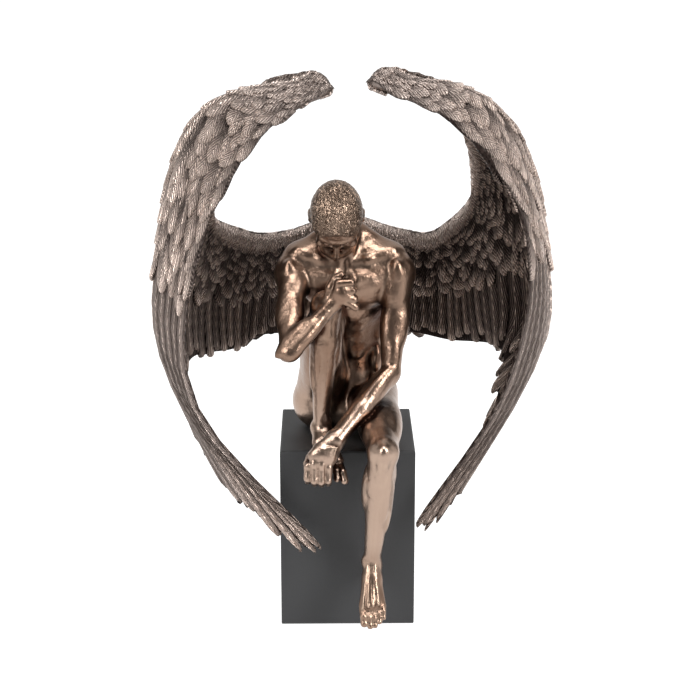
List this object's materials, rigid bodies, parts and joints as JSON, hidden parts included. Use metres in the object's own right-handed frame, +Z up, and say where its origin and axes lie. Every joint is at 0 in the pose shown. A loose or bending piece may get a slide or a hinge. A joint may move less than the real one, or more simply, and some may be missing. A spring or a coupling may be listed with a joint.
{
  "type": "seated winged man statuette",
  "caption": "Table-top statuette of a nude winged man seated in thought on a plain square block, head bowed, one knee drawn up, wings curving forward round the body.",
  "frame": {"origin": "middle of the block's underside, on the surface it stands on", "axes": "+Z up, -Y the front that the sitter faces, +X towards the sitter's left hand side"},
  "size_m": [0.1909, 0.0974, 0.2656],
  "materials": {
    "polished_bronze": "cold-cast resin filled with bronze powder, polished to a warm brown metallic shine",
    "dark_bronze": "the same bronzed resin with a dark antique wash, rubbed back on the feathers' edges",
    "black_resin": "smooth matte charcoal black"
  },
  "bodies": {
    "root": {"plinth": "black_resin", "figure": "polished_bronze", "right_wing": "dark_bronze", "left_wing": "dark_bronze"}
  },
  "joints": []
}
